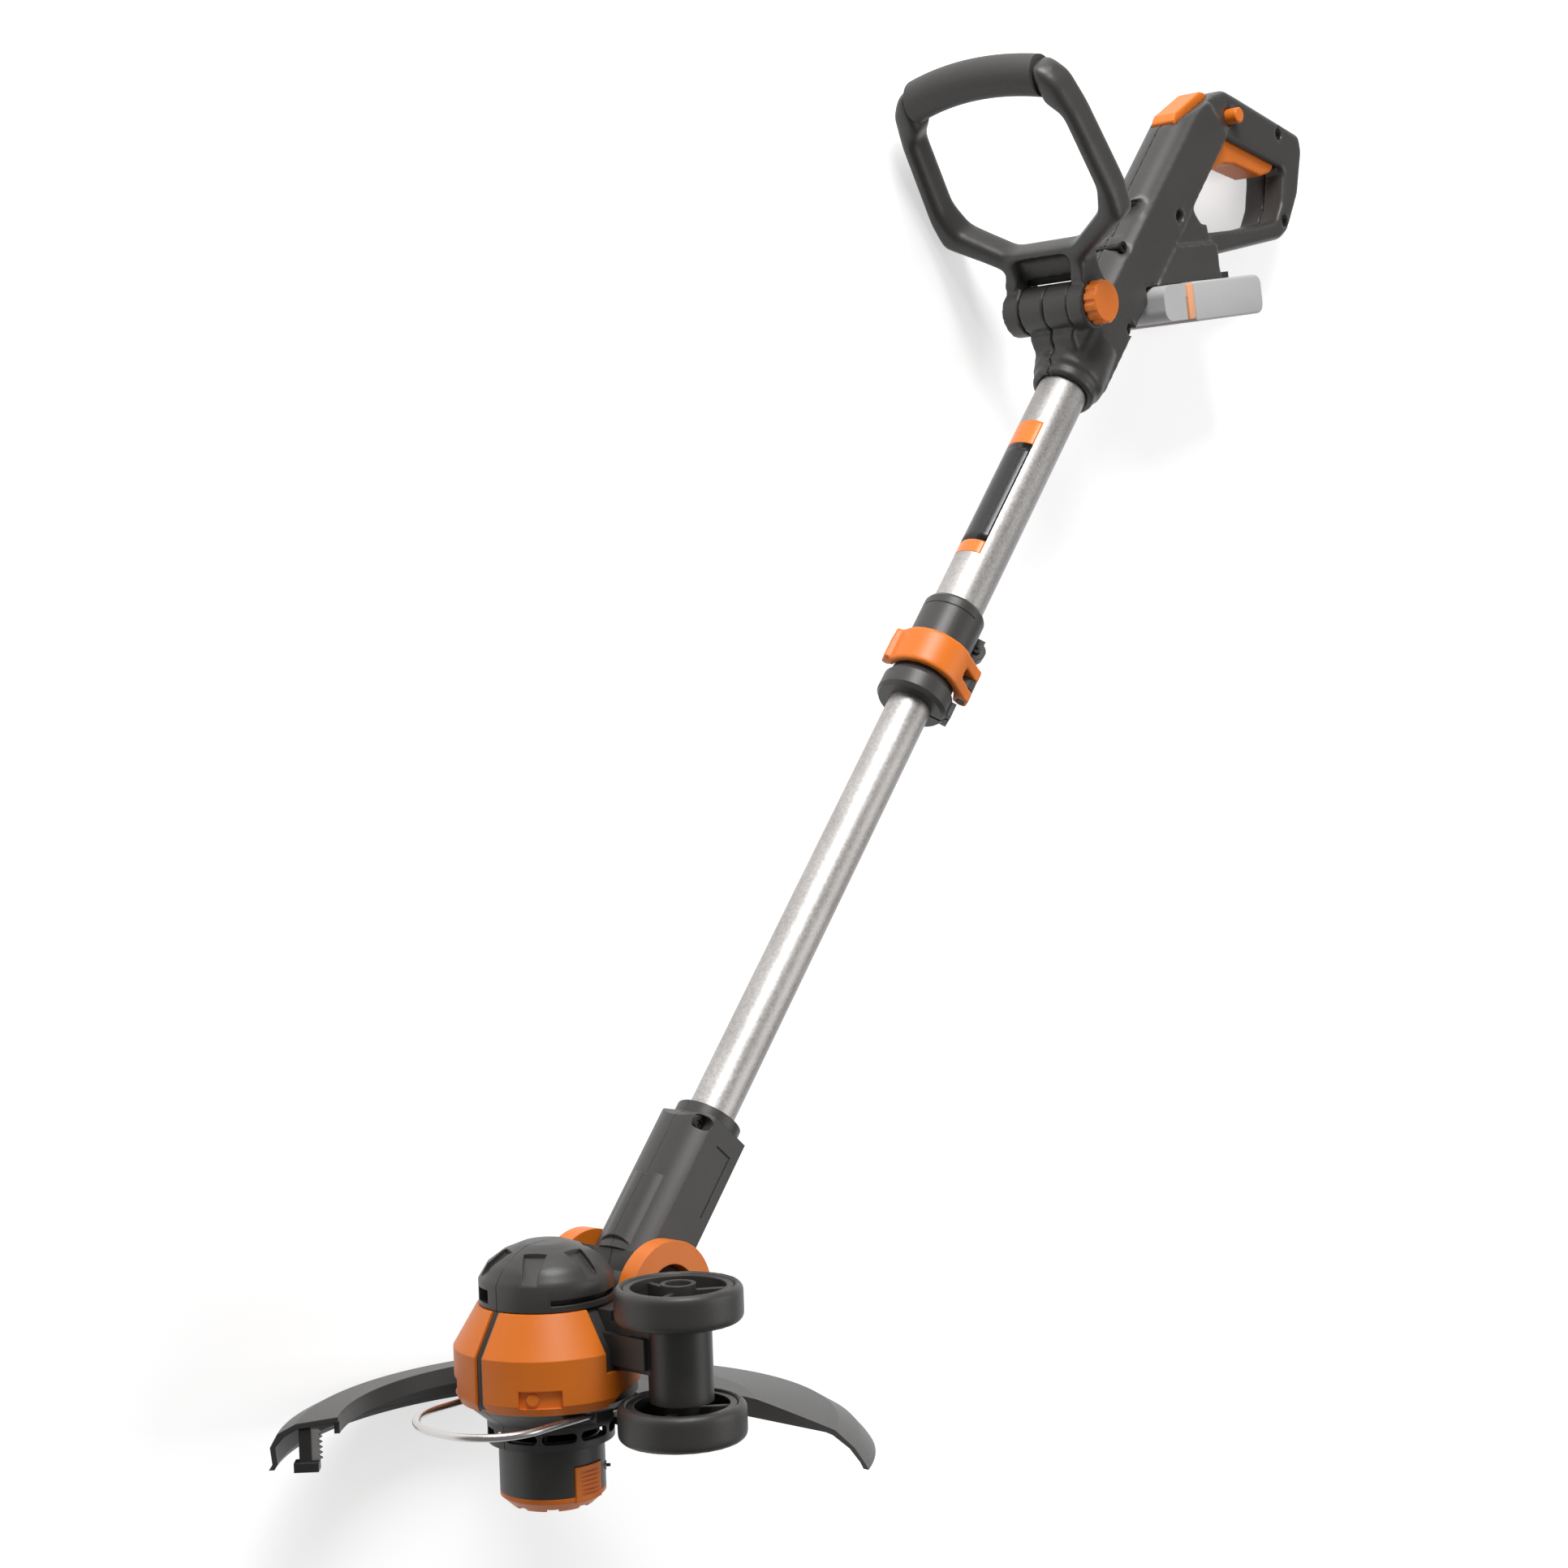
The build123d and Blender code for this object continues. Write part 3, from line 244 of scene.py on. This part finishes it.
# Dome flutes: six tapered flats round the shoulder of the motor dome, moulded with the two shells.
# Each starts at a low wall near the crown and runs out at the rim. The shells are cut copies of the solids.
# Each end of a flute is given by its radius, its height on the motor axis and its half width in millimetres.

FLUTE_COUNT = 6
FLUTE_TURN = 32.0
FLUTE_INNER = (19.0, 134.2, 6.2)
FLUTE_OUTER = (34.6, 123.2, 3.6)
FLUTE_LIFT = 20.0
FLUTE_SIDES = ((0, 1, 3, 2), (4, 6, 7, 5), (0, 4, 5, 1), (2, 3, 7, 6), (0, 2, 6, 4), (1, 5, 7, 3))
MOTOR_AXIS = Vector(joints["spool_spin"]["axis"])
MOTOR_POINT = Vector(joints["spool_spin"]["pos_m"])
MOTOR_POINT_HEIGHT = 30.0
FORWARD = LEFT.cross(MOTOR_AXIS)
WELD = 0.002 * MM
CREASE = 32.0


def merged_copy(name):
    """The mesh of a CAD node with its split corners joined, so that it is one closed skin."""
    mesh = nodes[name].data.copy()
    if "custom_normal" in mesh.attributes:
        mesh.attributes.remove(mesh.attributes["custom_normal"])
    form = bmesh.new()
    form.from_mesh(mesh)
    bmesh.ops.remove_doubles(form, verts=form.verts, dist=WELD)
    form.to_mesh(mesh)
    form.free()
    return mesh


def settle(piece):
    """Puts the result of a piece's modifiers into its mesh."""
    done = piece.evaluated_get(bpy.context.evaluated_depsgraph_get())
    mesh = bpy.data.meshes.new_from_object(done)
    piece.modifiers.clear()
    piece.data = mesh


def shade(piece, material, crease=CREASE):
    """Smooth faces in one material, with sharp edges where the skin turns by more than an angle."""
    mesh = piece.data
    mesh.materials.clear()
    mesh.materials.append(material)
    mesh.polygons.foreach_set("use_smooth", [True] * len(mesh.polygons))
    mesh.set_sharp_from_angle(angle=math.radians(crease))


points = []
faces = []
for number in range(FLUTE_COUNT):
    turn = math.radians(FLUTE_TURN + 360 / FLUTE_COUNT * number)
    out = FORWARD * math.cos(turn) + LEFT * math.sin(turn)
    side = LEFT * math.cos(turn) - FORWARD * math.sin(turn)
    first = len(points)
    for lift in (0.0, FLUTE_LIFT):
        for radius, height, half in (FLUTE_INNER, FLUTE_OUTER):
            for sign in (-1, 1):
                level = height + lift - MOTOR_POINT_HEIGHT
                points.append(MOTOR_POINT + (out * radius + side * half * sign + MOTOR_AXIS * level) * MM)
    for ring in FLUTE_SIDES:
        faces.append([first + corner for corner in ring])
cutter_mesh = bpy.data.meshes.new("flute_cutter")
cutter_mesh.from_pydata(points, [], faces)
form = bmesh.new()
form.from_mesh(cutter_mesh)
bmesh.ops.recalc_face_normals(form, faces=form.faces)
form.to_mesh(cutter_mesh)
form.free()
cutter = new_piece("flute_cutter", cutter_mesh)
for half in ("left", "right"):
    shell = new_piece(f"motor_shell_{half}", merged_copy(f"motor_housing_{half}"))
    cut = shell.modifiers.new("flutes", "BOOLEAN")
    cut.operation = "DIFFERENCE"
    cut.solver = "EXACT"
    cut.object = cutter
    settle(shell)
    shade(shell, eroded_nylon)
    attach(shell, "head")
    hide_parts(f"motor_housing_{half}")
bpy.data.objects.remove(cutter)


# Loop handle: one gas-assisted moulding with soft, full edges all round its arms.
# It is the solid remeshed and relaxed, except at the eyes, which keep their faces against the barrel.

LOOP_PIVOT = Vector(joints["loop_tilt"]["pos_m"])
LOOP_AXIS = Vector(joints["loop_tilt"]["axis"])
LOOP_SKIN = 1.4 * MM
LOOP_PASSES = 26
EYE_KEPT = 21 * MM
ARM_FREE = 34 * MM
SOFT_CREASE = 50.0


def ramp(value, start, end):
    """0 below start, 1 above end, and straight between them."""
    return min(1.0, max(0.0, (value - start) / (end - start)))


def from_loop_pivot(point):
    """Distance of a point from the pivot line of the loop."""
    arm = point - LOOP_PIVOT
    return (arm - LOOP_AXIS * arm.dot(LOOP_AXIS)).length


def relaxed(piece_name, node, body, material, skin_size, passes, freedom=None):
    """A CAD node's shape with softly rounded edges; freedom gives 0 where its skin stays as it is."""
    piece = new_piece(piece_name, merged_copy(node))
    skin = piece.modifiers.new("even_skin", "REMESH")
    skin.mode = "VOXEL"
    skin.voxel_size = skin_size
    settle(piece)
    form = bmesh.new()
    form.from_mesh(piece.data)
    free = {vert: freedom(vert.co) if freedom else 1.0 for vert in form.verts}
    moving = [vert for vert in form.verts if free[vert] > 0]
    for _ in range(passes):
        before = {vert: vert.co.copy() for vert in moving if free[vert] < 1}
        bmesh.ops.smooth_vert(form, verts=moving, factor=0.5,
                              use_axis_x=True, use_axis_y=True, use_axis_z=True)
        for vert, start in before.items():
            vert.co = start.lerp(vert.co, free[vert])
    form.to_mesh(piece.data)
    form.free()
    shade(piece, material, SOFT_CREASE)
    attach(piece, body)
    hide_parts(node)


def loop_freedom(point):
    """The eyes stay, the arms are free."""
    return ramp(from_loop_pivot(point), EYE_KEPT, ARM_FREE)


relaxed("loop_moulding", "loop_handle", "loop", eroded_nylon, LOOP_SKIN, LOOP_PASSES,
        loop_freedom)


# Loop web: the foot of the plate between the two arms of the loop, moulded with it.
# It reaches down to the barrel with a small running gap, so that no light shows through above the barrel.

LOOP_LEAN = math.radians(14.0)
LOOP_UP = FRONT * math.cos(LOOP_LEAN) + SHAFT_AXIS * math.sin(LOOP_LEAN)
LOOP_FORE = FRONT * math.sin(LOOP_LEAN) - SHAFT_AXIS * math.cos(LOOP_LEAN)
WEB_SIZE = Vector((41.2, 9.6, 6.0)) * MM
WEB_UP = 17.2 * MM
WEB_FORE = -13.0 * MM
WEB_EDGE = 0.8 * MM

web_place = Matrix((LEFT, LOOP_UP, LOOP_FORE)).transposed().to_4x4() @ Matrix.Diagonal(WEB_SIZE).to_4x4()
web_place = Matrix.Translation(LOOP_PIVOT + LOOP_UP * WEB_UP + LOOP_FORE * WEB_FORE) @ web_place
form = bmesh.new()
bmesh.ops.create_cube(form, size=1.0, matrix=web_place)
bmesh.ops.bevel(form, geom=form.edges[:], offset=WEB_EDGE, segments=3, profile=0.5, affect="EDGES")
bmesh.ops.recalc_face_normals(form, faces=form.faces)
web_mesh = bpy.data.meshes.new("loop_web")
form.to_mesh(web_mesh)
form.free()
web = new_piece("loop_web", web_mesh)
shade(web, eroded_nylon)
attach(web, "loop")


# Rear handle: two moulded shells, screwed together on the middle plane, that form beam, dock and closed grip.
# Their outer edges are softly rounded. The joint line, the barrel and what runs on the shells stay crisp.

HANDLE_SKIN = 1.2 * MM
HANDLE_PASSES = 10
MIDDLE = SHAFT_POINT.dot(LEFT)
JOINT_KEPT = 1.2 * MM
JOINT_FREE = 4 * MM
BARREL_KEPT = 17 * MM
BARREL_FREE = 22 * MM
NEIGHBOUR_REACH = 6 * MM
NEIGHBOUR_KEPT = 2.5 * MM
NEIGHBOUR_FREE = 5 * MM

depsgraph = bpy.context.evaluated_depsgraph_get()
handle_neighbours = [BVHTree.FromObject(nodes[name], depsgraph)
                     for name in ("feed_button", "lock_button", "trigger", "battery_case", "battery_latch")]


def clear_of(skins, point):
    """0 close to the skin of a neighbour and 1 away from it, so that running clearances stay."""
    found = [skin.find_nearest(point, NEIGHBOUR_REACH) for skin in skins]
    near = min((distance for at, _, _, distance in found if at), default=NEIGHBOUR_REACH)
    return ramp(near, NEIGHBOUR_KEPT, NEIGHBOUR_FREE)


def handle_freedom(point):
    """The shells are free away from their joint line, the barrel and the moving pieces."""
    joint_line = ramp(abs(point.dot(LEFT) - MIDDLE), JOINT_KEPT, JOINT_FREE)
    barrel = ramp(from_loop_pivot(point), BARREL_KEPT, BARREL_FREE)
    return joint_line * barrel * clear_of(handle_neighbours, point)


for half in ("left", "right"):
    relaxed(f"handle_shell_{half}", f"handle_{half}", "rear_handle", eroded_nylon,
            HANDLE_SKIN, HANDLE_PASSES, handle_freedom)


# Inner mouldings: line spool, cooling fan, guide bush, switch body, battery latch and cutter holder.
# They are plain nylon from smooth tools, clipped or pressed into the housings.

NYLON_RIPPLE = 1.6 * MM
NYLON_RIPPLE_DEPTH = 0.02 * MM

# Smooth nylon is a little blacker than the housings, with a faint ripple instead of a grain.
smooth_nylon = moulded_plastic("smooth_black_nylon", "#242424", "#303030", 0.42, NYLON_RIPPLE,
                               NYLON_RIPPLE_DEPTH)
dress(smooth_nylon, "line_spool", "cooling_fan", "tube_guide", "trigger_switch", "battery_latch",
      "cutter_holder")


# Orange pieces: motor covers, spool cap, tilt arches, cam lever, trigger, buttons and knob.
# They are moulded in coloured ABS with a fine satin face, and clipped or pinned to the dark housings.
# The lever, the feed button and the trigger have softly rounded edges all round.

ABS_GRAIN = 0.7 * MM
ABS_DEPTH = 0.03 * MM
HAND_PIECES = (("cam_lever", 0.7 * MM, 10), ("feed_button", 0.5 * MM, 14), ("trigger", 0.9 * MM, 10))

# Satin ABS keeps its colour clear in the light and gives wide, soft highlights.
satin_abs = moulded_plastic("satin_orange_abs", "#DE6E15", "#F08220", 0.42, ABS_GRAIN, ABS_DEPTH)
dress(satin_abs, "motor_cover_left", "motor_cover_right", "spool_cap", "tilt_arch_left", "tilt_arch_right",
      "cam_lever", "feed_button", "trigger", "lock_button", "loop_knob")
for name, skin_size, passes in HAND_PIECES:
    relaxed(f"{name}_moulding", name, name, satin_abs, skin_size, passes)


# Wheels: two dark wheels, each with an outer ring, turning on one steel axle beside the motor.
# Hub and ring are moulded polypropylene, and the ring is pressed over the hub.

RING_SKIN = 0.8 * MM
RING_PASSES = 14
POLYPROPYLENE_GRAIN = 1.1 * MM
POLYPROPYLENE_DEPTH = 0.03 * MM

# Polypropylene is softer than nylon and takes the tool's face less sharply, so it looks plain and satin.
satin_polypropylene = moulded_plastic("satin_dark_polypropylene", "#323130", "#454341", 0.46,
                                      POLYPROPYLENE_GRAIN, POLYPROPYLENE_DEPTH)
dress(satin_polypropylene, "tyre_upper", "tyre_lower", "wheel_upper", "wheel_lower")
for side in ("upper", "lower"):
    relaxed(f"tyre_ring_{side}", f"tyre_{side}", f"wheel_{side}", satin_polypropylene,
            RING_SKIN, RING_PASSES)


# Sleeve: the soft part of the loop handle, pushed over its top bar.
# It is moulded from thermoplastic rubber.

RUBBER_GRAIN = 1.3 * MM
RUBBER_DEPTH = 0.05 * MM

# Thermoplastic rubber is matt, so its highlights are weak and its rounding shows as a slow change of tone.
soft_rubber = moulded_plastic("matt_thermoplastic_rubber", "#333231", "#464442", 0.58, RUBBER_GRAIN,
                              RUBBER_DEPTH)
dress(soft_rubber, "loop_grip")


# Steel: plant guard wire, line cutter, tilt pin, wheel axle, motor and shaft, eyelet, loop bolt and spring.
# They are drawn, rolled or turned, and plated against rust.

DRAW_STREAK = 5 * MM


def finished_metal(name, code, mark, detail, sharp, dull):
    """Metal in one colour; the marks of its finish show only in how sharply it reflects."""
    made, tree = new_material(name)
    place = add(tree, "ShaderNodeTexCoord")
    marks = add(tree, "ShaderNodeTexNoise", {"Vector": place.outputs["Object"]},
                {"Scale": 1 / mark, "Detail": detail})
    gloss = add(tree, "ShaderNodeMapRange", {"Value": marks.outputs["Fac"]},
                {"To Min": sharp, "To Max": dull})
    surface = add(tree, "ShaderNodeBsdfPrincipled", {"Roughness": gloss.outputs["Result"]},
                  {"Metallic": 1.0, "Base Color": srgb(code)})
    add(tree, "ShaderNodeOutputMaterial", {"Surface": surface.outputs["BSDF"]})
    return made


# Bright plating over drawn steel gives clear reflections with slow, faint streaks.
plated_steel = finished_metal("bright_plated_steel", "#CFCCC9", DRAW_STREAK, 1.0, 0.24, 0.32)
dress(plated_steel, "plant_guard_wire", "line_cutter", "tilt_pin", "wheel_axle", "motor_shaft",
      "line_eyelet", "loop_bolt", "spool_spring", "motor")


# Screws: the thread-forming screws of the housings, and the bolt and the lever pin of the clamp.
# They are steel, most of them deep in their holes, and are coloured nearly black: painted shade for the shade in
# those holes.

SCREW_STEEL_MARK = 1.5 * MM

# Dull steel, nearly as dark as the plastic round it: the dark colour is painted shade that stands in for the shade
# of the holes.
screw_steel_painted_shade = finished_metal("painted_shade_screw_steel", "#3A3938", SCREW_STEEL_MARK, 3.0, 0.38, 0.55)
dress(screw_steel_painted_shade, "yoke_screws", "handle_screws", "clamp_bolt", "lever_pin")


# Battery pack: a pale grey ABS case that slides on the rail under the rear handle, with a coloured ring.
# The case is moulded in halves, the ring is a separate moulding set into it, and the end is a fuller block.
# Sizes are in millimetres, along the slide, across it from the rail, and half of the width.

CASE_GRAIN = 0.9 * MM
CASE_DEPTH = 0.03 * MM
ALONG = Vector(joints["battery_slide"]["axis"])
ACROSS = -Vector(joints["latch_press"]["axis"])
RAIL_POINT = Vector(frame["record"]["mounts"][0]["pos_m"])
RAIL_POINT_ALONG = 30.0
RING = {"along": (27.0, 34.0), "half": 31.4, "across": (-24.05, -0.6), "corner": 1.2, "edge": 0.8}
END_BLOCK = {"along": (34.0, 118.9), "half": 32.0, "across": (-26.0, 0.4), "corner": 7.0, "edge": 1.6}
SHARP_TURN = 0.6

# Pale satin ABS is plain and even, with soft highlights on its round corners.
satin_grey_abs = moulded_plastic("satin_grey_abs", "#B4B4B4", "#C4C4C4", 0.42, CASE_GRAIN, CASE_DEPTH)
pale_orange_abs = moulded_plastic("satin_pale_orange_abs", "#F0A675", "#F7B488", 0.42, CASE_GRAIN, CASE_DEPTH)
dress(satin_grey_abs, "battery_case")
dress(pale_orange_abs, "battery_band")


def rounded_block(name, along, half, across, corner, edge):
    """A block in the battery's own directions, with two large corners at its far end and small edges."""
    form = bmesh.new()
    grid = {}
    for i, a in enumerate(along):
        for j, c in enumerate(across):
            for k, y in enumerate((-half, half)):
                step = ALONG * (a - RAIL_POINT_ALONG) + ACROSS * c + LEFT * y
                grid[i, j, k] = form.verts.new(RAIL_POINT + step * MM)
    for fixed in range(3):
        for end in (0, 1):
            corners = [key[:fixed] + (end,) + key[fixed:] for key in ((0, 0), (1, 0), (1, 1), (0, 1))]
            form.faces.new([grid[key] for key in corners])
    bmesh.ops.recalc_face_normals(form, faces=form.faces)
    far = {grid[1, j, k] for j in (0, 1) for k in (0, 1)}
    upright = [line for line in form.edges if far.issuperset(line.verts)
               and abs((line.verts[0].co - line.verts[1].co).normalized().dot(LEFT)) > 0.9]
    bmesh.ops.bevel(form, geom=upright, offset=corner * MM, segments=6, profile=0.5, affect="EDGES")
    sharp = [line for line in form.edges if line.calc_face_angle(0) > SHARP_TURN]
    bmesh.ops.bevel(form, geom=sharp, offset=edge * MM, segments=3, profile=0.5, affect="EDGES")
    mesh = bpy.data.meshes.new(name)
    form.to_mesh(mesh)
    form.free()
    return new_piece(name, mesh)


ring = rounded_block("battery_ring", **RING)
shade(ring, pale_orange_abs)
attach(ring, "battery")
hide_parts("battery_band")
end_block = rounded_block("battery_end_block", **END_BLOCK)
shade(end_block, satin_grey_abs)
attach(end_block, "battery")


# Electrics: the control board in the handle and the blades that meet the battery.
# The board is glass laminate under green lacquer, and the blades are stamped from brass strip.

LAMINATE_WEAVE = 2.0 * MM
LAMINATE_DEPTH = 0.01 * MM
ROLL_MARK = 2 * MM

# Lacquer gives the board an even, deep green gloss, and rolled brass is bright with faint marks.
lacquered_board = moulded_plastic("lacquered_glass_laminate", "#14452A", "#1B5A37", 0.30, LAMINATE_WEAVE,
                                  LAMINATE_DEPTH)
stamped_brass = finished_metal("stamped_brass", "#D6B36A", ROLL_MARK, 3.0, 0.25, 0.4)
dress(lacquered_board, "controller")
dress(stamped_brass, "battery_terminals")


# Cutting line: nylon monofilament wound on the spool, with its end at the eyelet.
# It is extruded and drawn, and dark right through.

LINE_RIPPLE = 1.5 * MM
LINE_RIPPLE_DEPTH = 0.02 * MM

# Drawn nylon has a smooth, waxy face with narrow highlights.
drawn_monofilament = moulded_plastic("drawn_nylon_monofilament", "#222121", "#2E2D2C", 0.35, LINE_RIPPLE,
                                     LINE_RIPPLE_DEPTH)
dress(drawn_monofilament, "cutting_line")


# Stage: a wide pale floor under the tool.
# It is painted board, seen as near white, and it keeps the shadow of the tool.

FLOOR_HALF = 12.0
FLOOR_GLOW = 0.55

# Matt paint has no highlight. The added glow is seen directly and in reflections, and lights nothing.
painted_board, tree = new_material("pale_painted_board")
rays = add(tree, "ShaderNodeLightPath")
seen = add(tree, "ShaderNodeMath", {0: rays.outputs["Is Camera Ray"], 1: rays.outputs["Is Glossy Ray"]},
           operation="MAXIMUM")
seen = add(tree, "ShaderNodeMath", {0: seen.outputs["Value"], 1: rays.outputs["Is Transmission Ray"]},
           operation="MAXIMUM")
lift = add(tree, "ShaderNodeMath", {0: seen.outputs["Value"]}, {1: FLOOR_GLOW}, operation="MULTIPLY")
paint = add(tree, "ShaderNodeBsdfDiffuse", None, {"Color": srgb("#E6E6E6")})
glow = add(tree, "ShaderNodeEmission", {"Strength": lift.outputs["Value"]})
lit = add(tree, "ShaderNodeAddShader", {0: paint.outputs["BSDF"], 1: glow.outputs["Emission"]})
add(tree, "ShaderNodeOutputMaterial", {"Surface": lit.outputs["Shader"]})
floor_mesh = bpy.data.meshes.new("floor")
floor_mesh.from_pydata([(-FLOOR_HALF, -FLOOR_HALF, 0), (FLOOR_HALF, -FLOOR_HALF, 0),
                        (FLOOR_HALF, FLOOR_HALF, 0), (-FLOOR_HALF, FLOOR_HALF, 0)], [], [(0, 1, 2, 3)])
floor_mesh.materials.append(painted_board)
new_piece("floor", floor_mesh)


# Light: a bright soft box low in front of the tool, a larger and weaker one above it, and an even sky.
# The boxes are placed by the directions in which they stand from the middle of the tool.

BOX_DISTANCE = 2.2
SKY_STRENGTH = 0.22


def soft_box(name, direction, size, power):
    """A square lamp that faces the middle of the tool."""
    lamp = bpy.data.lights.new(name, "AREA")
    lamp.shape = "SQUARE"
    lamp.size = size
    lamp.energy = power
    stand = bpy.data.objects.new(name, lamp)
    way = Vector(direction).normalized()
    stand.location = (cad_low + cad_high) / 2 + way * BOX_DISTANCE
    stand.rotation_euler = way.to_track_quat("Z", "Y").to_euler()
    bpy.context.scene.collection.objects.link(stand)


soft_box("key_box", (0.52, 0.70, 0.40), 1.0, 52)
soft_box("top_box", (0.35, -0.55, 0.85), 1.5, 16)
sky = bpy.data.worlds.new("even_sky")
sky.use_nodes = True
sky_light = sky.node_tree.nodes["Background"].inputs
sky_light["Color"].default_value = srgb("#FFFFFF")
sky_light["Strength"].default_value = SKY_STRENGTH
bpy.context.scene.world = sky


# Camera: stands off the front left of the tool and looks down on it as it lies on its right side.
# The lens is a short tele, so the far handle and the near head keep their proportions.

CAMERA_AT = (-0.66886, 0.83521, 1.35247)
CAMERA_RIGHT = Vector((0.4865, -0.6145, 0.6210))
CAMERA_UP = Vector((0.7980, 0.6019, -0.0295))
CAMERA_LENS = 63.35
CAMERA_SENSOR = 36.0

view = bpy.data.cameras.new("camera")
view.lens = CAMERA_LENS
view.sensor_width = CAMERA_SENSOR
camera = bpy.data.objects.new("camera", view)
across = CAMERA_RIGHT.normalized()
back = across.cross(CAMERA_UP).normalized()
turn = Matrix((across, back.cross(across), back)).transposed()
camera.matrix_world = Matrix.Translation(CAMERA_AT) @ turn.to_4x4()
bpy.context.scene.collection.objects.link(camera)
bpy.context.scene.camera = camera
bpy.context.scene.view_settings.view_transform = "Standard"
